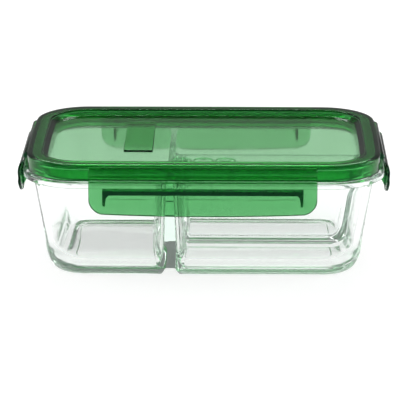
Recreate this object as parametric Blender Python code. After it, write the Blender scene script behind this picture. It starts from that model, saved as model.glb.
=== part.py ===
"""Three-compartment glass lunch box with a four-flap clip-on lid, at real size.

Metres, +Z up. The origin is the middle of the foot on the table, +X runs along the long side
and the front of the box faces -Y. Heights inside the box are given as drops below the crest of
the lid rim, and widths as insets from the outer face of the lid, because the glass, the seal and
the lid are all shaped round the same bowed, round-cornered outline.
"""
import math

import bmesh
import bpy

MM = 0.001

# Driving dimensions
CREST = 81.5 * MM                # top of the lid rim above the table
HALF_LENGTH = 116 * MM         # lid outline at its corners, half of the long side
HALF_DEPTH = 75 * MM           # and half of the short side
BOW_LENGTH = 2.3 * MM          # how far the short sides bulge at their middles
BOW_DEPTH = 0.8 * MM           # how far the long sides bulge at theirs
CORNER_RADIUS = 33 * MM
CORNER_SHRINK = 0.8            # corner radius lost per unit of inset
CORNER_STEPS = 9
SIDE_STEPS = 6

# Glass base
GLASS_TOP = 4.2 * MM           # drops below the crest
FLANGE_TOP = 11.9 * MM
FLANGE_UNDER = 15.7 * MM
FLANGE_REACH = 2.8 * MM        # how far the flange stands proud of the lid
WALL_INSET = 3.5 * MM          # outer face of the wall just under the flange
WALL_DRAFT = 0.165
MID_WALL = 40 * MM
FOOT_FILLET_IN = 9.5 * MM      # the bottom edge is rounded taller than it is wide
FOOT_FILLET_UP = 20 * MM
FOOT_WIDTH = 9 * MM            # flat ring that the box stands on
FOOT_RECESS = 0.8 * MM
LEDGE_DROP = 15 * MM           # level of the tops of the dividers
POCKET_WALL_INSET = 8.9 * MM
FLOOR_DROP = 75.8 * MM
POCKET_FILLET_IN = 14 * MM
POCKET_FILLET_UP = 16 * MM
DIVIDER_FILLET = 6 * MM
DIVIDER_X = -22 * MM           # middle of the front-to-back divider
CROSS_DIVIDER_Y = 0.0
DIVIDER_HALF_TOP = 2 * MM
DIVIDER_HALF_FOOT = 4.5 * MM
DIVIDER_CORNER = 8 * MM        # plan radius where a divider meets a wall
BRIM_ROUND = 1.3 * MM          # rounding of the divider tops and pocket brims
GROOVE_HALF = 6 * MM           # hollow under each divider
GROOVE_HALF_TOP = 3.2 * MM
GROOVE_HEIGHT = 6.2 * MM

# Lid and seal
PANEL_DROP = 3.4 * MM
PANEL_THICKNESS = 0.9 * MM
SKIRT_DROP = 11.3 * MM
SEAL_OUTER, SEAL_INNER = 3.6 * MM, 9.1 * MM
SEAL_TOP, SEAL_UNDER = 2.2 * MM, 3.9 * MM
PLATE_CENTRE = (-44 * MM, 4.4 * MM)
PLATE_HALF = (9.8 * MM, 36.8 * MM)
PLATE_RAISE = 1.3 * MM
MARK_CENTRES = (-14.6 * MM, 0.0, 14.6 * MM)
MARK_Y = -54.3 * MM
MARK_RADIUS = 6.9 * MM
MARK_LINE = 0.9 * MM
MARK_RAISE = 0.5 * MM

# Flaps and their living hinges
HINGE_DROP = 5.9 * MM
HINGE_OUT = 1.45 * MM          # hinge line outside the bulged middle of a lid side
HINGE_GAP = 0.7 * MM           # half of the height of the thin web
WEB_THICKNESS = 0.5 * MM
CLEARANCE = 0.3 * MM
LONG_FLAP = 149.4 * MM
SHORT_FLAP = 81 * MM
LONG_FLAP_DEPTH = 28.1 * MM    # hinge line to the lowest point of the lip
SHORT_FLAP_DEPTH = 25.6 * MM
FLAP_CORNER = 10 * MM
FLAP_SAG = 1.8 * MM            # extra depth at the middle of the bottom edge
FLAP_THICKNESS = 1.65 * MM
FLAP_TOP_THICKNESS = 0.65 * MM # at the living hinge
PLATE_OUT = 3.2 * MM           # how far out the lower half of every flap stands
SHORT_BULGE = 0.6              # share of the long flaps' bulge past that on the short ones
LIP_FLARE = 0.7 * MM
FLAP_CURVE = ((0.7, 0.3), (1.9, 1.15), (3.7, 3.15), (6.1, 4.75), (9.1, 5.65),
              (12.3, 5.45), (16.6, 4.75), (20.6, 3.9), (24, 3.4), (30, 3.2))
# Out and down pairs. None stands for the middle of the flap's plate.
HOOK_SECTION = ((None, 10.1), (-2.6, 10.1), (-3.25, 10.7), (-3.25, 11.4), (None, 14.2))
GUSSET_SECTION = ((None, 10.1), (-2.6, 10.1), (-3.25, 10.7), (-3.25, 11.4), (None, 21.5))
GUSSET_THICKNESS = 1.6 * MM
HOOK_INSET = 9 * MM            # flap end to hook end


def clear_scene():
    for item in list(bpy.data.objects):
        bpy.data.objects.remove(item, do_unlink=True)


def plastic(name, colour, roughness, metallic=0.0):
    material = bpy.data.materials.new(name)
    material.use_nodes = True
    shader = material.node_tree.nodes["Principled BSDF"]
    shader.inputs["Base Color"].default_value = (*colour, 1.0)
    shader.inputs["Roughness"].default_value = roughness
    shader.inputs["Metallic"].default_value = metallic
    return material


def add_object(name, mesh_data, material=None, smooth_angle=None):
    item = bpy.data.objects.new(name, mesh_data)
    bpy.context.collection.objects.link(item)
    if material:
        mesh_data.materials.append(material)
    if smooth_angle:
        mesh_data.shade_smooth()
        mesh_data.set_sharp_from_angle(angle=math.radians(smooth_angle))
    return item


def mesh_from(name, build):
    """Make a mesh from a function that fills a bmesh, with its faces pointing out."""
    mesh_data = bpy.data.meshes.new(name)
    shape = bmesh.new()
    build(shape)
    bmesh.ops.recalc_face_normals(shape, faces=shape.faces)
    shape.to_mesh(mesh_data)
    shape.free()
    return mesh_data


def bowed(x, y):
    """Push a point of the straight-sided outline out to the bulged one."""
    bulge_x = BOW_LENGTH / HALF_LENGTH * (1 - (y / HALF_DEPTH) ** 2)
    bulge_y = BOW_DEPTH / HALF_DEPTH * (1 - (x / HALF_LENGTH) ** 2)
    return x * (1 + bulge_x), y * (1 + bulge_y)


def outline(left, right, front, back, radii):
    """Points round a box with round corners, anticlockwise from the right side.

    radii are those of the back-right, back-left, front-left and front-right corners.
    """
    corners = ((right, back, 1, 1), (left, back, -1, 1), (left, front, -1, -1), (right, front, 1, -1))
    points = []
    for index, (corner_x, corner_y, side_x, side_y) in enumerate(corners):
        radius = radii[index]
        centre_x = corner_x - side_x * radius
        centre_y = corner_y - side_y * radius
        arc = []
        for step in range(CORNER_STEPS + 1):
            angle = (index + step / CORNER_STEPS) * math.pi / 2
            arc.append((centre_x + radius * math.cos(angle), centre_y + radius * math.sin(angle)))
        if points:
            points += between(points[-1], arc[0])
        points += arc
    points += between(points[-1], points[0])
    return [bowed(x, y) for x, y in points]


def between(start, end):
    run = []
    for step in range(1, SIDE_STEPS):
        part = step / SIDE_STEPS
        run.append((start[0] + (end[0] - start[0]) * part, start[1] + (end[1] - start[1]) * part))
    return run


def box_ring(inset, drop):
    """One ring round the whole box, at an inset from the lid's face and a drop from its crest."""
    half_x = HALF_LENGTH - inset
    half_y = HALF_DEPTH - inset
    radius = CORNER_RADIUS - CORNER_SHRINK * inset
    flat = outline(-half_x, half_x, -half_y, half_y, (radius,) * 4)
    return [(x, y, CREST - drop) for x, y in flat]


def skin(shape, rings, closed=False):
    """Join rings of equal length with quads, and cap the ends unless the section is closed."""
    rows = [[shape.verts.new(point) for point in ring] for ring in rings]
    pairs = list(zip(rows, rows[1:]))
    if closed:
        pairs.append((rows[-1], rows[0]))
    for lower, upper in pairs:
        count = len(lower)
        for index in range(count):
            after = (index + 1) % count
            shape.faces.new((lower[index], lower[after], upper[after], upper[index]))
    if not closed:
        shape.faces.new(rows[0])
        shape.faces.new(rows[-1])


def loft(name, rings, material=None, closed=False, smooth_angle=35):
    mesh_data = mesh_from(name, lambda shape: skin(shape, rings, closed))
    return add_object(name, mesh_data, material, smooth_angle)


def prism(name, section, start, end, along):
    """Extrude a closed section: along "x" it lies in y-z, along "y" it lies in x-z."""
    def place(pair, at):
        across, up = pair
        return (at, across, up) if along == "x" else (across, at, up)

    def build(shape):
        skin_rows = [[shape.verts.new(place(pair, at)) for pair in section] for at in (start, end)]
        count = len(section)
        for index in range(count):
            after = (index + 1) % count
            shape.faces.new((skin_rows[0][index], skin_rows[0][after],
                             skin_rows[1][after], skin_rows[1][index]))
        shape.faces.new(skin_rows[0])
        shape.faces.new(skin_rows[1])
    return add_object(name, mesh_from(name, build))


def combine(target, tool, operation):
    """Cut the target with the tool, or join the tool to it, and keep the tool as a guide."""
    modifier = target.modifiers.new(tool.name, "BOOLEAN")
    modifier.operation = operation
    modifier.solver = "EXACT"
    modifier.object = tool
    tool.hide_render = True
    tool.display_type = "WIRE"


# --- glass base -------------------------------------------------------------------------------

def glass_outer_rings():
    """Outside of the glass from the foot recess up over the flange to the rim."""
    wall_end = CREST - FOOT_FILLET_UP
    wall_end_inset = wall_inset(wall_end)
    foot_inset = wall_end_inset + FOOT_FILLET_IN
    recess_inset = foot_inset + FOOT_WIDTH
    rings = [box_ring(recess_inset + FOOT_RECESS, CREST - FOOT_RECESS), box_ring(recess_inset, CREST),
             box_ring(foot_inset, CREST)]
    steps = 6
    for step in range(1, steps + 1):
        angle = (1 - step / steps) * math.pi / 2
        rings.append(box_ring(wall_end_inset + FOOT_FILLET_IN * (1 - math.cos(angle)),
                              wall_end + FOOT_FILLET_UP * math.sin(angle)))
    flange = ((wall_inset(MID_WALL), MID_WALL),
              (WALL_INSET + 0.3 * MM, FLANGE_UNDER + 1.6 * MM),
              (WALL_INSET - 0.4 * MM, FLANGE_UNDER + 0.5 * MM),
              (WALL_INSET - 1.4 * MM, FLANGE_UNDER),
              (-1.7 * MM, FLANGE_UNDER),
              (-FLANGE_REACH, FLANGE_UNDER - 1.1 * MM),
              (-FLANGE_REACH, FLANGE_TOP + 1.1 * MM),
              (-1.7 * MM, FLANGE_TOP),
              (3.0 * MM, FLANGE_TOP),
              (3.6 * MM, FLANGE_TOP - 0.6 * MM),
              (3.6 * MM, GLASS_TOP + 1.0 * MM),
              (3.9 * MM, GLASS_TOP + 0.3 * MM),
              (4.6 * MM, GLASS_TOP))
    rings += [box_ring(inset, drop) for inset, drop in flange]
    return rings


def wall_inset(drop):
    return WALL_INSET + WALL_DRAFT * (drop - FLANGE_UNDER)


def well_rings():
    """The shallow space above the dividers, open at the top."""
    profile = ((8.3 * MM, LEDGE_DROP), (8.1 * MM, LEDGE_DROP - 0.6 * MM), (8.0 * MM, GLASS_TOP + 1.2 * MM),
               (7.7 * MM, GLASS_TOP + 0.3 * MM), (7.1 * MM, GLASS_TOP), (7.1 * MM, GLASS_TOP - 3 * MM))
    return [box_ring(inset, drop) for inset, drop in profile]


def pocket_rings(left_is_wall, right_is_wall, front_is_wall, back_is_wall, sides):
    """One compartment, from its floor up to its rounded brim.

    Each side is either an outer wall, which slopes and curves in with the glass, or the face of
    a divider. sides holds the divider's middle line for the sides that are not walls.
    """
    def ring(wall_in, divider_in, drop, divider_radius=DIVIDER_CORNER):
        left = -HALF_LENGTH + wall_in if left_is_wall else sides["left"] + divider_in
        right = HALF_LENGTH - wall_in if right_is_wall else sides["right"] - divider_in
        front = -HALF_DEPTH + wall_in if front_is_wall else sides["front"] + divider_in
        back = HALF_DEPTH - wall_in if back_is_wall else sides["back"] - divider_in
        wall_radius = CORNER_RADIUS - CORNER_SHRINK * wall_in
        radii = [wall_radius if one and other else divider_radius
                 for one, other in ((right_is_wall, back_is_wall), (left_is_wall, back_is_wall),
                                    (left_is_wall, front_is_wall), (right_is_wall, front_is_wall))]
        flat = outline(left, right, front, back, radii)
        return [(x, y, CREST - drop) for x, y in flat]

    def divider_half(drop):
        part = (drop - LEDGE_DROP) / (FLOOR_DROP - LEDGE_DROP)
        return DIVIDER_HALF_TOP + (DIVIDER_HALF_FOOT - DIVIDER_HALF_TOP) * part

    def wall_face(drop):
        return POCKET_WALL_INSET + WALL_DRAFT * (drop - LEDGE_DROP)

    rings = []
    steps = 5
    fillet_start = FLOOR_DROP - POCKET_FILLET_UP
    for step in range(steps + 1):
        angle = (1 - step / steps) * math.pi / 2
        inward = 1 - math.cos(angle)
        drop = fillet_start + POCKET_FILLET_UP * math.sin(angle)
        rings.append(ring(wall_face(fillet_start) + POCKET_FILLET_IN * inward,
                          divider_half(fillet_start) + DIVIDER_FILLET * inward,
                          drop, DIVIDER_CORNER - 0.9 * DIVIDER_FILLET * inward))
    rings.append(ring(wall_face(MID_WALL), divider_half(MID_WALL), MID_WALL))
    for angle in (0, 30, 60, 80):
        outward = BRIM_ROUND * (1 - math.cos(math.radians(angle)))
        drop = LEDGE_DROP + BRIM_ROUND * (1 - math.sin(math.radians(angle)))
        rings.append(ring(POCKET_WALL_INSET - 0.4 * outward, DIVIDER_HALF_TOP - outward, drop))
    rings.append(ring(POCKET_WALL_INSET - 0.4 * BRIM_ROUND, DIVIDER_HALF_TOP - BRIM_ROUND,
                      LEDGE_DROP - 1 * MM))
    return rings


def groove_section():
    """Arched hollow under a divider, as across and up pairs."""
    half, half_top, top = GROOVE_HALF, GROOVE_HALF_TOP, GROOVE_HEIGHT
    right = ((half + 0.9 * MM, -1 * MM), (half, 0.5 * MM), (half_top + 0.6 * MM, top - 1.2 * MM),
             (half_top - 0.6 * MM, top - 0.2 * MM))
    left = tuple((-across, up) for across, up in reversed(right))
    return right + ((0, top),) + left


def build_glass_base():
    glass = loft("glass_base", glass_outer_rings(), plastic("clear glass", (0.86, 0.9, 0.88), 0.05))
    cutters = [loft("cut_well", well_rings())]
    left_pocket = pocket_rings(True, False, True, True, {"right": DIVIDER_X})
    back_pocket = pocket_rings(False, True, False, True, {"left": DIVIDER_X, "front": CROSS_DIVIDER_Y})
    front_pocket = pocket_rings(False, True, True, False, {"left": DIVIDER_X, "back": CROSS_DIVIDER_Y})
    cutters += [loft("cut_left_pocket", left_pocket), loft("cut_back_pocket", back_pocket),
                loft("cut_front_pocket", front_pocket)]
    main_groove = [(DIVIDER_X + across, up) for across, up in groove_section()]
    cross_groove = [(CROSS_DIVIDER_Y + across, up) for across, up in groove_section()]
    cutters += [prism("cut_main_groove", main_groove, -HALF_DEPTH, HALF_DEPTH, "y"),
                prism("cut_cross_groove", cross_groove, DIVIDER_X, HALF_LENGTH, "x")]
    for cutter in cutters:
        combine(glass, cutter, "DIFFERENCE")
    return glass


# --- lid and seal -----------------------------------------------------------------------------

def lid_rings():
    """Right round the lid's section, from the top of the panel to its underside."""
    under = PANEL_DROP + PANEL_THICKNESS
    profile = ((14.2, PANEL_DROP / MM), (13.3, PANEL_DROP / MM - 0.3), (12.6, 2.6), (10.2, 0.5), (9.6, 0.1),
               (8.8, 0.0), (2.0, 0.0), (0.9, 0.25), (0.25, 0.8), (0.0, 1.7),
               (0.0, SKIRT_DROP / MM - 0.5), (0.4, SKIRT_DROP / MM), (2.6, SKIRT_DROP / MM),
               (3.0, SKIRT_DROP / MM - 0.5), (3.1, 2.3), (3.5, 1.9), (9.2, 1.9), (9.6, 2.3),
               (9.7, 12.0), (10.2, 12.5), (12.0, 12.5), (12.5, 12.0), (12.7, under / MM + 0.8),
               (13.5, under / MM), (14.2, under / MM))
    return [box_ring(inset * MM, drop * MM) for inset, drop in profile]


def hinge_pad(name, side):
    """Straight ledge on the lid's outer face that carries one living hinge."""
    bottom = HINGE_DROP - HINGE_GAP
    section = ((-2.8 * MM, CREST - 1.6 * MM), (0.0, CREST - 1.3 * MM), (1.2 * MM, CREST - 2.1 * MM),
               (2.1 * MM, CREST - 3.5 * MM), (1.7 * MM, CREST - bottom), (-1.6 * MM, CREST - bottom))
    half = side["length"] / 2
    pad = prism(name, section, -half, half, "x")
    pad.rotation_euler[2] = side["turn"]
    pad.location = side["face"]
    return pad


def ring_mark(name, centre_x):
    """Raised circle moulded on the panel near its front edge."""
    steps = 24
    base = CREST - PANEL_DROP
    rings = []
    for radius, height in ((MARK_RADIUS, base - 0.5 * MM), (MARK_RADIUS, base + MARK_RAISE),
                           (MARK_RADIUS - MARK_LINE, base + MARK_RAISE),
                           (MARK_RADIUS - MARK_LINE, base - 0.5 * MM)):
        rings.append([(centre_x + radius * math.cos(2 * math.pi * step / steps),
                       MARK_Y + radius * math.sin(2 * math.pi * step / steps), height)
                      for step in range(steps)])
    return loft(name, rings, closed=True)


def plain_plate():
    """Blank raised plate on the panel."""
    half_x, half_y = PLATE_HALF
    base = CREST - PANEL_DROP
    rings = []
    for grow, height in ((0, -0.5 * MM), (0, PLATE_RAISE - 0.25 * MM), (-0.25 * MM, PLATE_RAISE)):
        rings.append([(PLATE_CENTRE[0] + side_x * (half_x + grow), PLATE_CENTRE[1] + side_y * (half_y + grow),
                       base + height)
                      for side_x, side_y in ((1, 1), (-1, 1), (-1, -1), (1, -1))])
    return loft("lid_plate_shape", rings)


def build_lid(sides):
    lid = loft("lid_shell", lid_rings(), plastic("green polypropylene", (0.07, 0.42, 0.13), 0.3))
    for side in sides:
        combine(lid, hinge_pad(f"{side['name']}_pad_shape", side), "UNION")
    combine(lid, plain_plate(), "UNION")
    for index, centre_x in enumerate(MARK_CENTRES):
        combine(lid, ring_mark(f"mark_shape_{index + 1}", centre_x), "UNION")
    return lid


def build_seal():
    chamfer = 0.4 * MM
    profile = ((SEAL_OUTER, SEAL_TOP + chamfer), (SEAL_OUTER + chamfer, SEAL_TOP),
               (SEAL_INNER - chamfer, SEAL_TOP), (SEAL_INNER, SEAL_TOP + chamfer),
               (SEAL_INNER, SEAL_UNDER - chamfer), (SEAL_INNER - chamfer, SEAL_UNDER),
               (SEAL_OUTER + chamfer, SEAL_UNDER), (SEAL_OUTER, SEAL_UNDER - chamfer))
    rings = [box_ring(inset, drop) for inset, drop in profile]
    return loft("lid_seal", rings, plastic("silicone", (0.75, 0.8, 0.76), 0.55), closed=True)


# --- flaps and hinge webs ---------------------------------------------------------------------

def curve_out(down, bulge):
    """Outer face of a flap: how far out it stands at a distance below the hinge line."""
    points = []
    for step_down, step_out in FLAP_CURVE:
        past = max(step_out * MM - PLATE_OUT, 0)
        points.append((step_down * MM, step_out * MM - past + past * bulge))
    if down <= points[0][0]:
        return points[0][1]
    for index in range(len(points) - 1):
        (d0, o0), (d1, o1) = points[index], points[index + 1]
        if down <= d1:
            before = points[max(index - 1, 0)]
            after = points[min(index + 2, len(points) - 1)]
            slope0 = (o1 - before[1]) / (d1 - before[0])
            slope1 = (after[1] - o0) / (after[0] - d0)
            span = d1 - d0
            t = (down - d0) / span
            return ((2 * t ** 3 - 3 * t ** 2 + 1) * o0 + (t ** 3 - 2 * t ** 2 + t) * span * slope0
                    + (3 * t ** 2 - 2 * t ** 3) * o1 + (t ** 3 - t ** 2) * span * slope1)
    return points[-1][1]


def flap_depth(along, length, depth):
    """Depth of the flap's lower edge, which sags in the middle and is round at the ends."""
    half = length / 2
    edge = depth - FLAP_SAG * (along / half) ** 2
    past = abs(along) - (half - FLAP_CORNER)
    if past > 0:
        edge -= FLAP_CORNER - math.sqrt(max(FLAP_CORNER ** 2 - past ** 2, 0))
    return edge


def flap_stations(length):
    half = length / 2
    steps = 5
    start = half - FLAP_CORNER
    ends = [start + FLAP_CORNER * math.sin(math.pi / 2 * step / steps) for step in range(steps + 1)]
    middle = 6
    inner = [start * (2 * step / middle - 1) for step in range(1, middle)]
    return [-value for value in reversed(ends)] + inner + ends


def flap_section(along, length, depth, bulge):
    """Closed section of the flap's plate at one station, as out and up pairs from the hinge."""
    rows = 11
    top = HINGE_GAP
    edge = flap_depth(along, length, depth)
    outer, inner = [], []
    for row in range(rows + 1):
        down = top + (edge - top) * row / rows
        out = curve_out(down, bulge)
        near_lip = max(0.0, 1 - (edge - down) / (5 * MM))
        out += LIP_FLARE * near_lip ** 2
        slope = (curve_out(down + 0.1 * MM, bulge) - curve_out(down, bulge)) / (0.1 * MM)
        stretch = math.hypot(1, slope)
        grow = min(down / (4 * MM), 1.0)
        thick = FLAP_TOP_THICKNESS + (FLAP_THICKNESS - FLAP_TOP_THICKNESS) * grow
        inner_down = down if row in (0, rows) else down + thick * slope / stretch
        outer.append((out, -down))
        inner.append((out - thick / stretch, -inner_down))
    return outer + inner[::-1]


def build_flap(side):
    length, bulge = side["length"], side["bulge"]
    rings = []
    for along in flap_stations(length):
        rings.append([(along, out, up) for out, up in flap_section(along, length, side["depth"], bulge)])
    material = plastic(f"{side['name']} flap green", (0.05, 0.34, 0.1), 0.3)
    flap = loft(f"{side['name']}_flap", rings, material)
    flap.location = hinge_point(side)
    flap.rotation_euler[2] = side["turn"]
    hook = loft(f"{side['name']}_hook_shape", hook_rings(length, bulge))
    hook.parent = flap
    combine(flap, hook, "UNION")
    return flap


def hook_rings(length, bulge):
    """The bar that snaps under the flange, with a gusset running down the flap at each end."""
    def place(along, out, down):
        if out is None:
            return (along, curve_out(down * MM, bulge) - FLAP_THICKNESS / 2, -down * MM)
        return (along, out * MM, -down * MM)

    end = length / 2 - HOOK_INSET
    inner_end = end - GUSSET_THICKNESS
    stations = ((-end, GUSSET_SECTION), (-inner_end, GUSSET_SECTION), (-inner_end + 0.5 * MM, HOOK_SECTION),
                (inner_end - 0.5 * MM, HOOK_SECTION), (inner_end, GUSSET_SECTION), (end, GUSSET_SECTION))
    return [[place(along, out, down) for out, down in section] for along, section in stations]


def build_web(side):
    """The thin strip of the living hinge, centred on the hinge line."""
    half = WEB_THICKNESS / 2
    tall = HINGE_GAP - CLEARANCE
    section = ((-half, -tall), (half, -tall), (half, tall), (-half, tall))
    web = prism(f"{side['name']}_hinge_web", section, -side["length"] / 2, side["length"] / 2, "x")
    web.data.materials.append(plastic(f"{side['name']} web green", (0.05, 0.34, 0.1), 0.3))
    web.location = hinge_point(side)
    web.rotation_euler[2] = side["turn"]
    return web


def hinge_point(side):
    face_x, face_y, _ = side["face"]
    out_x, out_y = side["outward"]
    return (face_x + out_x * HINGE_OUT, face_y + out_y * HINGE_OUT, CREST - HINGE_DROP)


def lid_sides():
    """The four sides of the lid, each with the middle of its bulged outer face."""
    long_face = HALF_DEPTH + BOW_DEPTH
    short_face = HALF_LENGTH + BOW_LENGTH
    quarter = math.pi / 2
    return (
        {"name": "front", "length": LONG_FLAP, "depth": LONG_FLAP_DEPTH, "bulge": 1.0,
         "turn": 2 * quarter, "outward": (0, -1), "face": (0, -long_face, 0)},
        {"name": "back", "length": LONG_FLAP, "depth": LONG_FLAP_DEPTH, "bulge": 1.0,
         "turn": 0.0, "outward": (0, 1), "face": (0, long_face, 0)},
        {"name": "left", "length": SHORT_FLAP, "depth": SHORT_FLAP_DEPTH, "bulge": SHORT_BULGE,
         "turn": quarter, "outward": (-1, 0), "face": (-short_face, 0, 0)},
        {"name": "right", "length": SHORT_FLAP, "depth": SHORT_FLAP_DEPTH, "bulge": SHORT_BULGE,
         "turn": -quarter, "outward": (1, 0), "face": (short_face, 0, 0)},
    )


def main():
    clear_scene()
    sides = lid_sides()
    build_glass_base()
    build_lid(sides)
    build_seal()
    for side in sides:
        build_flap(side)
        build_web(side)


main()
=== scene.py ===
"""Looks of the glass lunch box: fine meshes, materials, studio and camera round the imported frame.

Metres, +Z up. As in the CAD, heights are drops below the crest of the lid rim and widths are insets
from the outer face of the lid, because glass, seal and lid all follow one bowed outline.
"""
import math

import bmesh
import bpy
from mathutils import Matrix, Vector


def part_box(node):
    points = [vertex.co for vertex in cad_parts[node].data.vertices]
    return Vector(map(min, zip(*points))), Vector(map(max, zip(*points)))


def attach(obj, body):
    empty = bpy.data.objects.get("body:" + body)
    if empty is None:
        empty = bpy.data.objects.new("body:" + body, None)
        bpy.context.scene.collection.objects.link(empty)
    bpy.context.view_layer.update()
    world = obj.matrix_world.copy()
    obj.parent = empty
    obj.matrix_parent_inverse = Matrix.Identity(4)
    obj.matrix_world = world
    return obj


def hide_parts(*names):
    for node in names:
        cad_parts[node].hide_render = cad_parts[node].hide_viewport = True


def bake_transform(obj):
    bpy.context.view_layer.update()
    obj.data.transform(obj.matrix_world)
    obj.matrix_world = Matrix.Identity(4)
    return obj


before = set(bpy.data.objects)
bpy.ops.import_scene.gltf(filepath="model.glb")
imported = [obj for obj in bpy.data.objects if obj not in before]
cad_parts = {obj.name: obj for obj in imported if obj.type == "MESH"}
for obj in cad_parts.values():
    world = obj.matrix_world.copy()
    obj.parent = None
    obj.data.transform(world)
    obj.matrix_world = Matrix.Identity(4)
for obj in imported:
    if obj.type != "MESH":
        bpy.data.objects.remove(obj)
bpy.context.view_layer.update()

MM = 0.001
SMOOTH_ANGLE = 40            # degrees between faces above which an edge stays sharp,
CUT_ANGLE = 32               # after cutting
JOIN_ANGLE = 35              # and after joining

# Outline shared by glass, seal and lid, as in the CAD
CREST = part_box("lid_shell")[1].z
HALF_LENGTH = 116 * MM
HALF_DEPTH = 75 * MM
BOW_LENGTH = 2.3 * MM
BOW_DEPTH = 0.8 * MM
CORNER_RADIUS = 33 * MM
CORNER_SHRINK = 0.8
CORNER_STEPS = 16
SIDE_STEPS = 10

# Glass base. Lengths in this section and the next two are in millimetres
GLASS_TOP = 4.2
NECK_INSET = 3.6
RIM_INNER = 7.5
WELL_INSET = 8.3
FLANGE_TOP = 11.9
FLANGE_UNDER = 15.7
FLANGE_REACH = 2.8
WALL_INSET = 3.5
WALL_DRAFT = 0.165
WALL_DROPS = (52, 42, 32, 24)
FOOT_FILLET_IN = 9.5
FOOT_FILLET_UP = 20.0
FOOT_WIDTH = 9.0
FOOT_RECESS = 0.8
LEDGE_DROP = 15.0
POCKET_WALL_INSET = 8.9
FLOOR_DROP = 75.8
POCKET_FILLET_IN = 14.0
POCKET_FILLET_UP = 16.0
FILLET_STEPS = 12
DIVIDER_FILLET = 6.0
DIVIDER_X = -22.0
CROSS_DIVIDER_Y = 0.0
DIVIDER_HALF_TOP = 2.0
DIVIDER_HALF_FOOT = 4.5
DIVIDER_CORNER = 8.0
CORNER_EASE = 0.9            # how much the divider corners tighten down the fillet
BRIM_ROUND = 1.3
BRIM_ANGLES = (0, 18, 36, 54, 72, 84)
WALL_BRIM_SHARE = 0.4        # the brim is rounded less against the outer wall
GROOVE_HALF = 6.0
GROOVE_HALF_TOP = 3.2
GROOVE_HEIGHT = 6.2
GROOVE_STEPS = 12

# Lid
PANEL_DROP = 3.4
PANEL_THICKNESS = 0.9
SKIRT_DROP = 11.3
PLATE_CENTRE = (-44.0, 4.4)
PLATE_HALF = (9.8, 36.8)
PLATE_RAISE = 1.3
MARK_CENTRES = (-14.6, 0.0, 14.6)
MARK_Y = -54.3
MARK_RADIUS = 6.9
MARK_LINE = 0.9
MARK_RAISE = 0.8
MARK_EDGE = 0.15             # softened edge of a ring
MARK_STEPS = 40
STROKE_WIDTH = 0.8
STROKE_RAISE = 0.45
SUNK = 0.5                   # how far the plate, rings and strokes reach down into the panel
PLATE_CORNER = 0.9

# Flaps and living hinges
HINGE_DROP = 5.9
HINGE_OUT = 1.45
HINGE_GAP = 0.7
LONG_FLAP = 149.4
SHORT_FLAP = 81.0
LONG_FLAP_DEPTH = 28.1
SHORT_FLAP_DEPTH = 25.6
FLAP_CORNER = 10.0
FLAP_SAG = 1.8
FLAP_THICKNESS = 1.65
FLAP_TOP_THICKNESS = 0.65
PLATE_OUT = 3.2
SHORT_BULGE = 0.6
LIP_FLARE = 0.7
LIP_ZONE = 5.0               # height of the flared lip above the lower edge
THICKEN_BY = 4.0             # distance below the hinge where the flap reaches its full thickness
EDGE_ROUND = 0.9
EDGE_LEFT = 0.05             # half of the thickness that is left at the very edge
SLOPE_STEP = 0.05
FLAP_ROWS = 46
ROW_BIAS = 0.35              # crowds the rows towards the hinge and the lower edge
DENSE_ZONE = 8.0             # stretch beside the finger panel's end where sections crowd
COARSE_STEPS, DENSE_STEPS, END_STEPS = 14, 16, 18
FINGER_START = 15.9          # top edge of the sunk finger panel, below the hinge line
FINGER_SINK = 0.45
FINGER_BEVEL = 0.9
FINGER_SLANT = 0.4
FINGER_INSET = 3.6           # from the hook's end to the finger panel's side
FLAP_CURVE = ((0.7, 0.3), (1.9, 1.15), (3.7, 3.15), (6.1, 4.75), (9.1, 5.65),
              (12.3, 5.45), (16.6, 4.75), (20.6, 3.9), (24, 3.4), (30, 3.2))
HOOK_INSET = 9.0
HOOK_FACE = ((-2.6, 10.1), (-3.25, 10.7), (-3.25, 11.4))     # (out, down) from the hinge line
HOOK_FOOT = 13.2
GUSSET_FOOT = 21.5
GUSSET_THICKNESS = 1.6
WEB_HALF_THICKNESS = 0.2
WEB_END_GAP = 0.2
WEB_OVERLAP = 0.02
WEB_ROWS, WEB_COLUMNS = 10, 24

# Materials
GLASS_IOR, PLASTIC_IOR, SILICONE_IOR = 1.49, 1.49, 1.41
GLASS_COLOUR, GLASS_DENSITY = (0.1, 0.65, 0.35), 2.2
LID_COLOUR, LID_DENSITY = (0.3, 0.78, 0.4), 1130
FLAP_COLOUR = (0.34, 0.74, 0.42)
FLAP_DENSITY = 1800
BACK_FLAP_PAINTED_PALE_DENSITY = 800      # paler copy for the back flap alone: painted light, so it shows only faintly through the lid
PLASTIC_REFLECTION = (0.12, 0.72, 0.3)

# Studio
FLOOR_HALF = 6.0
FLOOR_BELOW = 0.2 * MM       # gap between the foot and the floor
FLOOR_TONE = 0.38
FLOOR_LIGHT = 0.79
WORLD_LIGHT_LOW = 0.95
WORLD_LIGHT_HIGH = 0.45
WORLD_FADE = (0.3, 0.55)     # sine of the elevations between which the surround dims
CARD_LIGHT = 0.22            # glow of the grey card that the box mirrors instead of the surround
CARD_DISTANCE = 500 * MM
CARD_HEIGHT = 450 * MM
CARD_HALF_WIDTH = 900 * MM
SOFTBOX_AIM = (0, 0, 0.05)
SOFTBOXES = (                # name, place, size, power
    ("back_softbox", (0, 1.5, 1.5), (1.8, 0.9), 22),
    ("left_softbox", (-1.6, 0.1, 0.45), (0.9, 0.9), 9),
    ("right_softbox", (1.6, 0.1, 0.45), (0.9, 0.9), 9),
)
LIGHT_BOUNCES = 32
GLOSSY_BOUNCES = 16

# Camera; angles in degrees
CAMERA_ELEVATION = 15.5
CAMERA_AZIMUTH = 0.8
CAMERA_DISTANCE = 1.69
CAMERA_PAN = 0.104
CAMERA_TILT = 1.513
SENSOR_WIDTH = 36
FOCAL_LENGTH = 223.2


# --- mesh helpers -----------------------------------------------------------------------------

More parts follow.
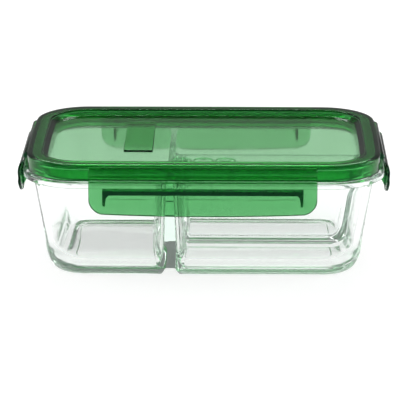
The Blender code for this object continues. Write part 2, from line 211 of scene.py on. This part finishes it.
def add_object(name, mesh_data, material=None):
    item = bpy.data.objects.new(name, mesh_data)
    bpy.context.scene.collection.objects.link(item)
    mesh_data.shade_smooth()
    mesh_data.set_sharp_from_angle(angle=math.radians(SMOOTH_ANGLE))
    if material:
        mesh_data.materials.append(material)
    return item


def mesh_from(name, build):
    """Make a mesh from a function that fills a bmesh, with its faces pointing out."""
    mesh_data = bpy.data.meshes.new(name)
    shape = bmesh.new()
    build(shape)
    bmesh.ops.recalc_face_normals(shape, faces=shape.faces)
    shape.to_mesh(mesh_data)
    shape.free()
    return mesh_data


def skin(shape, rings, closed=False):
    """Join rings of equal length with quads, and cap the ends unless the section is closed."""
    rows = [[shape.verts.new(point) for point in ring] for ring in rings]
    pairs = list(zip(rows, rows[1:]))
    if closed:
        pairs.append((rows[-1], rows[0]))
    for lower, upper in pairs:
        count = len(lower)
        for index in range(count):
            after = (index + 1) % count
            shape.faces.new((lower[index], lower[after], upper[after], upper[index]))
    if not closed:
        shape.faces.new(rows[0])
        shape.faces.new(rows[-1])


def loft(name, rings, material=None, closed=False):
    return add_object(name, mesh_from(name, lambda shape: skin(shape, rings, closed)), material)


def sheet(name, corners, material):
    """One flat face of the studio, through four corners."""
    def build(shape):
        shape.faces.new([shape.verts.new(corner) for corner in corners])
    return add_object(name, mesh_from(name, build), material)


def solved(target, tools, operation, smooth_angle):
    """Cut the target with the tools, or join them to it, and keep only the finished mesh."""
    for tool in tools:
        modifier = target.modifiers.new(tool.name, "BOOLEAN")
        modifier.operation = operation
        modifier.solver = "EXACT"
        modifier.object = tool
    bpy.context.view_layer.update()
    graph = bpy.context.evaluated_depsgraph_get()
    finished = bpy.data.meshes.new_from_object(target.evaluated_get(graph))
    target.modifiers.clear()
    target.data = finished
    finished.shade_smooth()
    finished.set_sharp_from_angle(angle=math.radians(smooth_angle))
    for tool in tools:
        bpy.data.objects.remove(tool, do_unlink=True)


def rounded(corners, steps=4, closed=False):
    """Points of a section given as (across, drop, radius) corners, each rounded by its radius."""
    points = []
    count = len(corners)
    for index, (across, drop, radius) in enumerate(corners):
        here = Vector((across, drop))
        if not radius or (not closed and index in (0, count - 1)):
            points.append(tuple(here))
            continue
        before = Vector(corners[index - 1][:2]) - here
        after = Vector(corners[(index + 1) % count][:2]) - here
        reach = radius / math.tan(before.angle(after) / 2)
        start = here + before.normalized() * min(reach, 0.49 * before.length)
        end = here + after.normalized() * min(reach, 0.49 * after.length)
        for step in range(steps + 1):
            t = step / steps
            points.append(tuple((1 - t) ** 2 * start + 2 * (1 - t) * t * here + t ** 2 * end))
    return points


def bowed(x, y):
    """Push a point of the straight-sided outline out to the bulged one."""
    bulge_x = BOW_LENGTH / HALF_LENGTH * (1 - (y / HALF_DEPTH) ** 2)
    bulge_y = BOW_DEPTH / HALF_DEPTH * (1 - (x / HALF_LENGTH) ** 2)
    return x * (1 + bulge_x), y * (1 + bulge_y)


def outline(left, right, front, back, radii):
    """Points round a box with round corners: back-right, back-left, front-left, front-right."""
    corners = ((right, back, 1, 1), (left, back, -1, 1), (left, front, -1, -1), (right, front, 1, -1))
    points = []
    for index, (corner_x, corner_y, side_x, side_y) in enumerate(corners):
        radius = radii[index]
        centre_x = corner_x - side_x * radius
        centre_y = corner_y - side_y * radius
        arc = []
        for step in range(CORNER_STEPS + 1):
            angle = (index + step / CORNER_STEPS) * math.pi / 2
            arc.append((centre_x + radius * math.cos(angle), centre_y + radius * math.sin(angle)))
        if points:
            points += between(points[-1], arc[0])
        points += arc
    points += between(points[-1], points[0])
    return [bowed(x, y) for x, y in points]


def between(start, end):
    run = []
    for step in range(1, SIDE_STEPS):
        part = step / SIDE_STEPS
        run.append((start[0] + (end[0] - start[0]) * part, start[1] + (end[1] - start[1]) * part))
    return run


def box_ring(inset, drop):
    """One ring round the whole box; inset and drop are in millimetres."""
    half_x = HALF_LENGTH - inset * MM
    half_y = HALF_DEPTH - inset * MM
    radius = CORNER_RADIUS - CORNER_SHRINK * inset * MM
    flat = outline(-half_x, half_x, -half_y, half_y, (radius,) * 4)
    return [(x, y, CREST - drop * MM) for x, y in flat]


def placing(side, spot):
    """Where a side's part goes: made at the origin facing back, then turned and moved."""
    return Matrix.Translation(side[spot]) @ Matrix.Rotation(side["turn"], 4, "Z")


# --- glass base -------------------------------------------------------------------------------

def wall_inset(drop):
    return WALL_INSET + WALL_DRAFT * (drop - FLANGE_UNDER)


def glass_body_rings():
    """The glass without its pockets: foot, wall, flange, neck, rim and the well inside the rim."""
    crest = CREST / MM
    wall_end = crest - FOOT_FILLET_UP
    end_inset = wall_inset(wall_end)
    foot_inset = end_inset + FOOT_FILLET_IN
    recess_inset = foot_inset + FOOT_WIDTH
    profile = []
    profile += rounded(((recess_inset + 6, crest - FOOT_RECESS, 0),
                        (recess_inset + FOOT_RECESS, crest - FOOT_RECESS, 0.8),
                        (recess_inset, crest, 0.8),
                        (foot_inset, crest, 0)))
    steps = 14
    for step in range(1, steps + 1):
        angle = (1 - step / steps) * math.pi / 2
        profile.append((end_inset + FOOT_FILLET_IN * (1 - math.cos(angle)),
                        wall_end + FOOT_FILLET_UP * math.sin(angle)))
    profile += [(wall_inset(drop), drop) for drop in WALL_DROPS]
    profile += rounded(((wall_inset(20), 20, 0),
                        (WALL_INSET, FLANGE_UNDER, 1.6),
                        (-FLANGE_REACH, FLANGE_UNDER, 1.1),
                        (-FLANGE_REACH, FLANGE_TOP, 1.1),
                        (NECK_INSET, FLANGE_TOP, 0.6),
                        (NECK_INSET, GLASS_TOP, 1.2),
                        (RIM_INNER, GLASS_TOP, 1.2),
                        (WELL_INSET, LEDGE_DROP, 0.5),
                        (12.0, LEDGE_DROP, 0)))
    return [box_ring(inset, drop) for inset, drop in profile]


def pocket_rings(walls, sides):
    """One compartment, from its floor up to its rounded brim.

    walls names the sides that are outer walls, which slope and curve in with the glass. The others
    are faces of dividers, whose middle lines are in sides.
    """
    def place(side, sign, half, wall_in, divider_in):
        if side in walls:
            return sign * (half / MM - wall_in)
        return sides[side] - sign * divider_in

    def ring(wall_in, divider_in, drop, divider_radius=DIVIDER_CORNER):
        left = place("left", -1, HALF_LENGTH, wall_in, divider_in)
        right = place("right", 1, HALF_LENGTH, wall_in, divider_in)
        front = place("front", -1, HALF_DEPTH, wall_in, divider_in)
        back = place("back", 1, HALF_DEPTH, wall_in, divider_in)
        wall_radius = CORNER_RADIUS / MM - CORNER_SHRINK * wall_in
        pairs = (("right", "back"), ("left", "back"), ("left", "front"), ("right", "front"))
        radii = [(wall_radius if one in walls and other in walls else divider_radius) * MM
                 for one, other in pairs]
        flat = outline(left * MM, right * MM, front * MM, back * MM, radii)
        return [(x, y, CREST - drop * MM) for x, y in flat]

    def divider_half(drop):
        part = (drop - LEDGE_DROP) / (FLOOR_DROP - LEDGE_DROP)
        return DIVIDER_HALF_TOP + (DIVIDER_HALF_FOOT - DIVIDER_HALF_TOP) * part

    def wall_face(drop):
        return POCKET_WALL_INSET + WALL_DRAFT * (drop - LEDGE_DROP)

    rings = []
    fillet_start = FLOOR_DROP - POCKET_FILLET_UP
    for step in range(FILLET_STEPS + 1):
        angle = (1 - step / FILLET_STEPS) * math.pi / 2
        inward = 1 - math.cos(angle)
        drop = fillet_start + POCKET_FILLET_UP * math.sin(angle)
        rings.append(ring(wall_face(fillet_start) + POCKET_FILLET_IN * inward,
                          divider_half(fillet_start) + DIVIDER_FILLET * inward,
                          drop, DIVIDER_CORNER - CORNER_EASE * DIVIDER_FILLET * inward))
    for drop in WALL_DROPS:
        rings.append(ring(wall_face(drop), divider_half(drop), drop))
    for angle in BRIM_ANGLES:
        outward = BRIM_ROUND * (1 - math.cos(math.radians(angle)))
        drop = LEDGE_DROP + BRIM_ROUND * (1 - math.sin(math.radians(angle)))
        rings.append(ring(POCKET_WALL_INSET - WALL_BRIM_SHARE * outward, DIVIDER_HALF_TOP - outward, drop))
    above_brim = LEDGE_DROP - 1.0
    rings.append(ring(POCKET_WALL_INSET - WALL_BRIM_SHARE * BRIM_ROUND, DIVIDER_HALF_TOP - BRIM_ROUND,
                      above_brim))
    return rings


def groove_rings(centre, start, end, along):
    """Hollow that runs under a divider, flared where it meets the foot."""
    half, half_top, top = GROOVE_HALF, GROOVE_HALF_TOP, GROOVE_HEIGHT
    section = rounded(((half + 2.2, -1.0, 0), (half + 0.8, -0.2, 0), (half, 0.9, 0.8),
                       (half_top, top, 1.2), (-half_top, top, 1.2), (-half, 0.9, 0.8),
                       (-half - 0.8, -0.2, 0), (-half - 2.2, -1.0, 0)))
    rings = []
    for step in range(GROOVE_STEPS + 1):
        at = start + (end - start) * step / GROOVE_STEPS
        ring = []
        for across, up in section:
            spot = (at, centre + across, up) if along == "x" else (centre + across, at, up)
            ring.append(tuple(value * MM for value in spot))
        rings.append(ring)
    return rings


def build_glass(material):
    glass = loft("glass_base_piece", glass_body_rings(), material)
    pockets = (("left_pocket", ("left", "front", "back"), {"right": DIVIDER_X}),
               ("back_pocket", ("right", "back"), {"left": DIVIDER_X, "front": CROSS_DIVIDER_Y}),
               ("front_pocket", ("right", "front"), {"left": DIVIDER_X, "back": CROSS_DIVIDER_Y}))
    cutters = [loft(name, pocket_rings(walls, sides)) for name, walls, sides in pockets]
    cutters += [
        loft("main_groove", groove_rings(DIVIDER_X, -76, 76, "y")),
        loft("cross_groove", groove_rings(CROSS_DIVIDER_Y, DIVIDER_X, 118, "x")),
    ]
    solved(glass, cutters, "DIFFERENCE", CUT_ANGLE)
    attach(glass, "base")
    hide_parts("glass_base")


# --- lid and seal -----------------------------------------------------------------------------

def lid_rings():
    """Right round the lid's section, from the top of the panel to its underside."""
    under = PANEL_DROP + PANEL_THICKNESS
    corners = ((20.0, PANEL_DROP, 0), (13.2, PANEL_DROP, 0.6), (9.7, 0.0, 0.8), (5.5, 0.0, 0),
               (0.0, 0.0, 2.2), (0.0, SKIRT_DROP, 0.5), (3.0, SKIRT_DROP, 0.5),
               (3.1, 1.9, 0.6), (9.6, 1.9, 0.6), (9.7, 12.5, 0.5), (12.5, 12.5, 0.5), (12.7, under, 0.8),
               (20.0, under, 0))
    return [box_ring(inset, drop) for inset, drop in rounded(corners, 5)]


def hinge_pad(name, side):
    """Straight ledge on the lid's outer face that carries one living hinge."""
    bottom = HINGE_DROP - HINGE_GAP
    section = rounded(((-2.8, 1.6, 0), (0.0, 1.3, 0.6), (1.6, 2.3, 0.9), (2.1, 3.8, 0.6),
                       (1.7, bottom, 0.2), (-1.6, bottom, 0)), 3)
    half = side["length"] / 2
    bevel = 0.4
    ends = ((-half, bevel), (-half + bevel, 0.0), (half - bevel, 0.0), (half, bevel))
    rings = []
    for along, shrink in ends:
        rings.append([(along * MM, (out - shrink) * MM, CREST - drop * MM) for out, drop in section])
    pad = loft(name, rings)
    pad.matrix_world = placing(side, "face")
    return pad


def ring_mark(centre_x):
    """Raised ring on the panel, from (radius, height) pairs turned about an upright axis."""
    inner = MARK_RADIUS - MARK_LINE
    shoulder = MARK_RAISE - MARK_EDGE
    sections = ((MARK_RADIUS, -SUNK), (MARK_RADIUS, shoulder), (MARK_RADIUS - MARK_EDGE, MARK_RAISE),
                (inner + MARK_EDGE, MARK_RAISE), (inner, shoulder), (inner, -SUNK))
    rings = []
    for radius, height in sections:
        rings.append([((centre_x + radius * math.cos(2 * math.pi * step / MARK_STEPS)) * MM,
                       (MARK_Y + radius * math.sin(2 * math.pi * step / MARK_STEPS)) * MM,
                       CREST - (PANEL_DROP - height) * MM) for step in range(MARK_STEPS)])
    return loft("ring_mark", rings, closed=True)


def bar(name, start, end):
    """Raised straight stroke on the panel, from one point to another."""
    run = Vector(end) - Vector(start)
    side = Vector((-run.y, run.x)).normalized() * STROKE_WIDTH / 2
    tip = run.normalized() * STROKE_WIDTH / 2
    base = CREST - PANEL_DROP * MM
    plan = [Vector(start) - tip * 0.6 + side, Vector(start) - tip, Vector(start) - tip * 0.6 - side,
            Vector(end) + tip * 0.6 - side, Vector(end) + tip, Vector(end) + tip * 0.6 + side]
    rings = [[(point.x * MM, point.y * MM, base + height * MM) for point in plan]
             for height in (-SUNK, STROKE_RAISE)]
    return loft(name, rings)


def glyph_strokes():
    """Generic care signs inside the three rings: waves, a lidded tray and a six-armed star."""
    strokes = []
    waves_x, tray_x, star_x = MARK_CENTRES
    for row in (-2.4, 0.0, 2.4):
        points = []
        for step in range(4):
            swing = 0.55 if step % 2 else -0.55
            points.append((waves_x - 3.9 + 2.6 * step, MARK_Y + row + swing))
        strokes += list(zip(points, points[1:]))
    tray_half, tray_bottom, tray_top = 3.4, MARK_Y - 2.6, MARK_Y + 1.0
    cover_half, cover_y = 1.6, MARK_Y + 3.0
    strokes += [((tray_x - tray_half, tray_bottom), (tray_x + tray_half, tray_bottom)),
                ((tray_x - tray_half, tray_bottom), (tray_x - tray_half, tray_top)),
                ((tray_x + tray_half, tray_bottom), (tray_x + tray_half, tray_top)),
                ((tray_x - cover_half, cover_y), (tray_x + cover_half, cover_y))]
    star_reach = 4.1
    for step in range(3):
        angle = math.radians(30 + 60 * step)
        reach = Vector((math.cos(angle), math.sin(angle))) * star_reach
        strokes.append(((star_x - reach.x, MARK_Y - reach.y), (star_x + reach.x, MARK_Y + reach.y)))
    return strokes


def plate():
    """Blank raised plate on the panel, with a softened edge."""
    middle_x, middle_y = PLATE_CENTRE
    half_x, half_y = PLATE_HALF
    base = CREST / MM - PANEL_DROP
    rings = []
    for grow, height in ((0, -SUNK), (0, PLATE_RAISE - 0.3), (-0.09, PLATE_RAISE - 0.09),
                         (-0.3, PLATE_RAISE), (-0.5, PLATE_RAISE)):
        corner = PLATE_CORNER + grow
        points = []
        for index, (side_x, side_y) in enumerate(((1, 1), (-1, 1), (-1, -1), (1, -1))):
            for step in range(4):
                angle = (index + step / 3) * math.pi / 2
                x = middle_x + side_x * (half_x + grow - corner) + corner * math.cos(angle)
                y = middle_y + side_y * (half_y + grow - corner) + corner * math.sin(angle)
                points.append((x * MM, y * MM, (base + height) * MM))
        rings.append(points)
    return loft("plate", rings)


def build_lid(sides, material):
    lid = loft("lid_shell_piece", lid_rings(), material)
    tools = [hinge_pad(f"{side['name']}_pad", side) for side in sides]
    tools.append(plate())
    tools += [ring_mark(centre_x) for centre_x in MARK_CENTRES]
    solved(lid, tools, "UNION", JOIN_ANGLE)
    for index, (start, end) in enumerate(glyph_strokes()):
        solved(lid, [bar(f"stroke_{index}", start, end)], "UNION", JOIN_ANGLE)
    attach(lid, "lid")
    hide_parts("lid_shell")


def build_seal(material):
    """Silicone ring in the channel of the lid, with two soft lips on its underside."""
    corners = ((3.6, 2.2, 0.4), (9.1, 2.2, 0.4), (9.1, 3.9, 0.4), (8.0, 3.9, 0.3), (7.2, 3.3, 0.5),
               (5.5, 3.3, 0.5), (4.7, 3.9, 0.3), (3.6, 3.9, 0.4))
    rings = [box_ring(inset, drop) for inset, drop in rounded(corners, 3, closed=True)]
    seal = loft("lid_seal_piece", rings, material, closed=True)
    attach(seal, "lid")
    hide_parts("lid_seal")


# --- flaps and hinges -------------------------------------------------------------------------

def curve_out(down, bulge):
    """Outer face of a flap: how far out it stands at a distance below the hinge line.

    A smooth curve runs through the points of FLAP_CURVE. bulge scales what stands past PLATE_OUT.
    """
    points = []
    for step_down, step_out in FLAP_CURVE:
        past = max(step_out - PLATE_OUT, 0)
        points.append((step_down, step_out - past + past * bulge))
    if down <= points[0][0]:
        return points[0][1]
    for index in range(len(points) - 1):
        (d0, o0), (d1, o1) = points[index], points[index + 1]
        if down <= d1:
            before = points[max(index - 1, 0)]
            after = points[min(index + 2, len(points) - 1)]
            slope0 = (o1 - before[1]) / (d1 - before[0])
            slope1 = (after[1] - o0) / (after[0] - d0)
            span = d1 - d0
            t = (down - d0) / span
            return ((2 * t ** 3 - 3 * t ** 2 + 1) * o0 + (t ** 3 - 2 * t ** 2 + t) * span * slope0
                    + (3 * t ** 2 - 2 * t ** 3) * o1 + (t ** 3 - t ** 2) * span * slope1)
    return points[-1][1]


def smooth_step(value):
    value = min(max(value, 0.0), 1.0)
    return value * value * (3 - 2 * value)


def flap_edge(along, half, depth):
    """Depth of the flap's lower edge, which sags in the middle and is round at the ends."""
    edge = depth - FLAP_SAG * (along / half) ** 2
    past = abs(along) - (half - FLAP_CORNER)
    if past > 0:
        edge -= FLAP_CORNER - math.sqrt(max(FLAP_CORNER ** 2 - past ** 2, 0))
    return edge


def flap_stations(half):
    """Places along a flap, closer together where its ends round off and the finger panel ends."""
    inner_end = half - HOOK_INSET - DENSE_ZONE
    inner = [inner_end * step / COARSE_STEPS for step in range(COARSE_STEPS + 1)]
    panel = [inner_end + DENSE_ZONE * step / DENSE_STEPS for step in range(1, DENSE_STEPS + 1)]
    ends = []
    for step in range(1, END_STEPS + 1):
        share = math.sin(math.pi / 2 * step / END_STEPS)
        ends.append(half - FLAP_CORNER - 1 + (FLAP_CORNER + 1) * share)
    positive = inner + panel + [value for value in ends if value > panel[-1] + 0.1]
    return [-value for value in reversed(positive[1:])] + positive


def finger_sink(along, down, half):
    """How far the outer face is sunk for the finger panel."""
    side_edge = half - HOOK_INSET - FINGER_INSET + FINGER_SLANT * (down - FINGER_START)
    inside = min(down - FINGER_START, side_edge - abs(along))
    return FINGER_SINK * smooth_step(inside / FINGER_BEVEL)


def flap_rings(length, depth, bulge):
    """Rings across a flap, each down its outer face and back up its inner one."""
    half = length / 2
    rings = []
    for along in flap_stations(half):
        edge = flap_edge(along, half, depth)
        outer, inner = [], []
        for row in range(FLAP_ROWS + 1):
            part = row / FLAP_ROWS
            part = part + ROW_BIAS * (part - part * part) * (2 * part - 1)
            down = HINGE_GAP + (edge - HINGE_GAP) * part
            near_lip = max(0.0, 1 - (edge - down) / LIP_ZONE)
            out = curve_out(down, bulge) + LIP_FLARE * near_lip ** 2
            rise = curve_out(down + SLOPE_STEP, bulge) - curve_out(down - SLOPE_STEP, bulge)
            slope = rise / (2 * SLOPE_STEP)
            stretch = math.hypot(1, slope)
            full_share = min(down / THICKEN_BY, 1.0)
            thick = FLAP_TOP_THICKNESS + (FLAP_THICKNESS - FLAP_TOP_THICKNESS) * full_share
            rim = min(edge - down, half - abs(along))
            near_rim = 1 - min(max(rim / EDGE_ROUND, 0.0), 1.0)
            round_off = EDGE_ROUND * (1 - math.sqrt(1 - near_rim ** 2 * 0.999))
            round_off = min(round_off, thick / 2 - EDGE_LEFT)
            out -= finger_sink(along, down, half)
            outward = out - round_off
            inward = out - thick / stretch + round_off
            drop_inner = down + thick * slope / stretch if 0 < row < FLAP_ROWS else down
            outer.append((along * MM, outward * MM, -down * MM))
            inner.append((along * MM, inward * MM, -drop_inner * MM))
        rings.append(outer + inner[::-1])
    return rings


def hook_rings(half, bulge):
    """Bar that snaps under the glass flange, with a gusset running down the flap at each end."""
    def in_plate(down):
        sink = FINGER_SINK if down > FINGER_START else 0
        return curve_out(down, bulge) - FLAP_THICKNESS / 2 - sink

    top = HOOK_FACE[0][1]
    end = half - HOOK_INSET
    inner_end = end - GUSSET_THICKNESS
    rings = []
    for along, mix in ((-end, 1), (-inner_end, 1), (-inner_end + 0.8, 0.25), (-inner_end + 2.5, 0),
                       (inner_end - 2.5, 0), (inner_end - 0.8, 0.25), (inner_end, 1), (end, 1)):
        foot = HOOK_FOOT + (GUSSET_FOOT - HOOK_FOOT) * mix
        section = ((in_plate(top), top), *HOOK_FACE, (in_plate(foot), foot))
        rings.append([(along * MM, out * MM, -down * MM) for out, down in section])
    return rings


def build_flap(side, material):
    name = side["name"]
    length, bulge = side["length"], side["bulge"]
    flap = loft(f"{name}_flap_piece", flap_rings(length, side["depth"], bulge), material)
    hook = loft(f"{name}_hook", hook_rings(length / 2, bulge))
    solved(flap, [hook], "UNION", JOIN_ANGLE)
    flap.data.transform(placing(side, "hinge"))
    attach(flap, f"{name}_flap_body")
    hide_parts(f"{name}_flap")


def build_web(side, material):
    """Thin strip that bends between the lid's pad and the top of the flap."""
    name = side["name"]
    half = side["length"] / 2 - WEB_END_GAP
    reach = HINGE_GAP + WEB_OVERLAP
    heights = [(reach - 2 * reach * row / WEB_ROWS) * MM for row in range(WEB_ROWS + 1)]
    out = WEB_HALF_THICKNESS * MM
    rings = []
    for step in range(WEB_COLUMNS + 1):
        along = (-half + 2 * half * step / WEB_COLUMNS) * MM
        outer = [(along, out, height) for height in heights]
        inner = [(along, -out, height) for height in reversed(heights)]
        rings.append(outer + inner)
    web = loft(f"{name}_hinge_web_piece", rings, material)
    web.data.transform(placing(side, "hinge"))
    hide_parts(f"{name}_hinge_web")
    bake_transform(web)


def lid_sides():
    """The four sides of the lid, with the middle of its bulged face and of its hinge line."""
    long_face = HALF_DEPTH + BOW_DEPTH
    short_face = HALF_LENGTH + BOW_LENGTH
    quarter = math.pi / 2
    sides = []
    long_flap = {"length": LONG_FLAP, "depth": LONG_FLAP_DEPTH, "bulge": 1.0}
    short_flap = {"length": SHORT_FLAP, "depth": SHORT_FLAP_DEPTH, "bulge": SHORT_BULGE}
    for name, flap, turn, outward, face in (
            ("front", long_flap, 2 * quarter, (0, -1), long_face),
            ("back", long_flap, 0.0, (0, 1), long_face),
            ("left", short_flap, quarter, (-1, 0), short_face),
            ("right", short_flap, -quarter, (1, 0), short_face)):
        reach = face + HINGE_OUT * MM
        sides.append({"name": name, **flap, "turn": turn,
                      "face": (outward[0] * face, outward[1] * face, 0),
                      "hinge": (outward[0] * reach, outward[1] * reach, CREST - HINGE_DROP * MM)})
    return sides


# --- materials --------------------------------------------------------------------------------

def new_material(name):
    material = bpy.data.materials.new(name)
    material.use_nodes = True
    nodes = material.node_tree.nodes
    return material, nodes, material.node_tree.links, nodes["Principled BSDF"]


def noise(nodes, links, scale, detail, coordinates):
    texture = nodes.new("ShaderNodeTexNoise")
    texture.inputs["Scale"].default_value = scale
    texture.inputs["Detail"].default_value = detail
    links.new(coordinates.outputs["Object"], texture.inputs["Vector"])
    return texture


def tint(nodes, links, shader, source, low, high):
    """Let the base colour wander between two colours with a texture."""
    node = nodes.new("ShaderNodeValToRGB")
    node.color_ramp.elements[0].position = 0.35
    node.color_ramp.elements[1].position = 0.65
    node.color_ramp.elements[0].color = (*low, 1)
    node.color_ramp.elements[1].color = (*high, 1)
    links.new(source.outputs["Fac"], node.inputs["Fac"])
    links.new(node.outputs["Color"], shader.inputs["Base Color"])


def map_range(nodes, links, source, start, end, low, high):
    """Map a range of one value to another, held level outside it."""
    node = nodes.new("ShaderNodeMapRange")
    for socket, value in (("From Min", start), ("From Max", end), ("To Min", low), ("To Max", high)):
        node.inputs[socket].default_value = value
    links.new(source, node.inputs["Value"])
    return node


def roughen(nodes, links, shader, source, low, high):
    """Let the roughness wander between two values with a texture."""
    rough = map_range(nodes, links, source.outputs["Fac"], 0.3, 0.7, low, high)
    links.new(rough.outputs["Result"], shader.inputs["Roughness"])


def bump(nodes, links, shader, source, strength, distance):
    node = nodes.new("ShaderNodeBump")
    node.inputs["Strength"].default_value = strength
    node.inputs["Distance"].default_value = distance
    links.new(source.outputs["Fac"], node.inputs["Height"])
    links.new(node.outputs["Normal"], shader.inputs["Normal"])


def absorb(nodes, links, colour, density):
    """Fill the body with colour that deepens with the thickness that light crosses."""
    volume = nodes.new("ShaderNodeVolumeAbsorption")
    volume.inputs["Color"].default_value = (*colour, 1)
    volume.inputs["Density"].default_value = density
    links.new(volume.outputs["Volume"], nodes["Material Output"].inputs["Volume"])


def clear_glass():
    material, nodes, links, shader = new_material("clear_pressed_glass")
    coordinates = nodes.new("ShaderNodeTexCoord")
    ripple = noise(nodes, links, 22, 1.5, coordinates)
    smudge = noise(nodes, links, 60, 4, coordinates)
    tint(nodes, links, shader, smudge, (0.985, 0.99, 0.988), (1.0, 1.0, 1.0))
    roughen(nodes, links, shader, smudge, 0.02, 0.035)
    bump(nodes, links, shader, ripple, 0.03, 0.0002)
    shader.inputs["Transmission Weight"].default_value = 1.0
    shader.inputs["IOR"].default_value = GLASS_IOR
    absorb(nodes, links, GLASS_COLOUR, GLASS_DENSITY)
    return material


def green_plastic(name, colour, density, rough_low, rough_high):
    material, nodes, links, shader = new_material(name)
    coordinates = nodes.new("ShaderNodeTexCoord")
    flow = noise(nodes, links, 18, 2, coordinates)
    grain = noise(nodes, links, 900, 3, coordinates)
    tint(nodes, links, shader, flow, (0.93, 0.97, 0.93), (0.97, 0.99, 0.97))
    roughen(nodes, links, shader, flow, rough_low, rough_high)
    bump(nodes, links, shader, grain, 0.04, 0.00001)
    shader.inputs["Transmission Weight"].default_value = 1.0
    shader.inputs["IOR"].default_value = PLASTIC_IOR
    shader.inputs["Specular Tint"].default_value = (*PLASTIC_REFLECTION, 1)
    absorb(nodes, links, colour, density)
    return material


def silicone():
    material, nodes, links, shader = new_material("translucent_silicone")
    coordinates = nodes.new("ShaderNodeTexCoord")
    grain = noise(nodes, links, 700, 3, coordinates)
    tint(nodes, links, shader, grain, (0.86, 0.9, 0.87), (0.94, 0.97, 0.95))
    roughen(nodes, links, shader, grain, 0.4, 0.55)
    bump(nodes, links, shader, grain, 0.2, 0.00005)
    shader.inputs["Transmission Weight"].default_value = 0.9
    shader.inputs["IOR"].default_value = SILICONE_IOR
    return material


# --- studio and camera ------------------------------------------------------------------------

def glowing(name, tone, gloss, glow):
    """Plain matt grey that gives off some white light of its own."""
    material, _, _, shader = new_material(name)
    shader.inputs["Base Color"].default_value = (tone, tone, tone, 1)
    shader.inputs["Roughness"].default_value = 0.9
    shader.inputs["Specular IOR Level"].default_value = gloss
    shader.inputs["Emission Color"].default_value = (1, 1, 1, 1)
    shader.inputs["Emission Strength"].default_value = glow
    return material


def build_floor():
    corners = [(side_x * FLOOR_HALF, side_y * FLOOR_HALF, -FLOOR_BELOW)
               for side_x, side_y in ((-1, -1), (1, -1), (1, 1), (-1, 1))]
    floor = sheet("studio_floor", corners, glowing("pale_floor", FLOOR_TONE, 0.1, FLOOR_LIGHT))


def build_card():
    """Neutral grey card behind the box, which keeps white reflections off the plastic."""
    corners = [(x, CARD_DISTANCE, z)
               for x, z in ((-CARD_HALF_WIDTH, 0), (CARD_HALF_WIDTH, 0),
                            (CARD_HALF_WIDTH, CARD_HEIGHT), (-CARD_HALF_WIDTH, CARD_HEIGHT))]
    card = sheet("studio_card", corners, glowing("grey_card", 0, 0, CARD_LIGHT))
    card.visible_camera = False
    card.visible_shadow = False


def area_light(name, place, size, power):
    light = bpy.data.lights.new(name, "AREA")
    light.shape = "RECTANGLE"
    light.size, light.size_y = size
    light.energy = power
    lamp = bpy.data.objects.new(name, light)
    bpy.context.scene.collection.objects.link(lamp)
    lamp.location = place
    lamp.rotation_euler = (Vector(SOFTBOX_AIM) - Vector(place)).to_track_quat("-Z", "Y").to_euler()
    lamp.visible_camera = False


def build_studio():
    """Pale floor, soft boxes, a pale surround that is brightest low down, and the grey card."""
    build_floor()
    build_card()
    world = bpy.data.worlds.new("studio")
    bpy.context.scene.world = world
    world.use_nodes = True
    nodes, links = world.node_tree.nodes, world.node_tree.links
    background = nodes["Background"]
    background.inputs["Color"].default_value = (1, 1, 1, 1)
    direction = nodes.new("ShaderNodeSeparateXYZ")
    links.new(nodes.new("ShaderNodeTexCoord").outputs["Generated"], direction.inputs["Vector"])
    strength = map_range(nodes, links, direction.outputs["Z"], *WORLD_FADE,
                         WORLD_LIGHT_LOW, WORLD_LIGHT_HIGH)
    links.new(strength.outputs["Result"], background.inputs["Strength"])
    for name, place, size, power in SOFTBOXES:
        area_light(name, place, size, power)
    scene = bpy.context.scene
    scene.view_settings.view_transform = "Standard"
    scene.cycles.max_bounces = LIGHT_BOUNCES
    scene.cycles.transmission_bounces = LIGHT_BOUNCES
    scene.cycles.glossy_bounces = GLOSSY_BOUNCES


def build_camera():
    """Camera at the product shot's angle: a long lens, a little above the box."""
    target = Vector((0, 0, CREST))
    elevation = math.radians(CAMERA_ELEVATION)
    azimuth = math.radians(CAMERA_AZIMUTH)
    back = Vector((math.sin(azimuth) * math.cos(elevation), -math.cos(azimuth) * math.cos(elevation),
                   math.sin(elevation)))
    data = bpy.data.cameras.new("camera")
    data.sensor_width = SENSOR_WIDTH
    data.lens = FOCAL_LENGTH
    camera = bpy.data.objects.new("camera", data)
    bpy.context.scene.collection.objects.link(camera)
    camera.location = target + back * CAMERA_DISTANCE
    level = (-back).to_track_quat("-Z", "Y")
    pan = Matrix.Rotation(math.radians(CAMERA_PAN), 4, "Y").to_quaternion()
    tilt = Matrix.Rotation(-math.radians(CAMERA_TILT), 4, "X").to_quaternion()
    camera.rotation_mode = "QUATERNION"
    camera.rotation_quaternion = level @ pan @ tilt
    bpy.context.scene.camera = camera


def main():
    sides = lid_sides()
    build_glass(clear_glass())
    build_lid(sides, green_plastic("lid_green", LID_COLOUR, LID_DENSITY, 0.03, 0.06))
    build_seal(silicone())
    flap_green = green_plastic("flap_green", FLAP_COLOUR, FLAP_DENSITY, 0.05, 0.09)
    # painted light: the back flap alone gets a paler copy of the flap plastic, so it shows only faintly
    # through the lid
    back_flap_painted_paler = green_plastic("back_flap_painted_paler", FLAP_COLOUR, BACK_FLAP_PAINTED_PALE_DENSITY, 0.05, 0.09)
    for side in sides:
        material = back_flap_painted_paler if side["name"] == "back" else flap_green
        build_flap(side, material)
        build_web(side, material)
    build_studio()
    build_camera()


main()
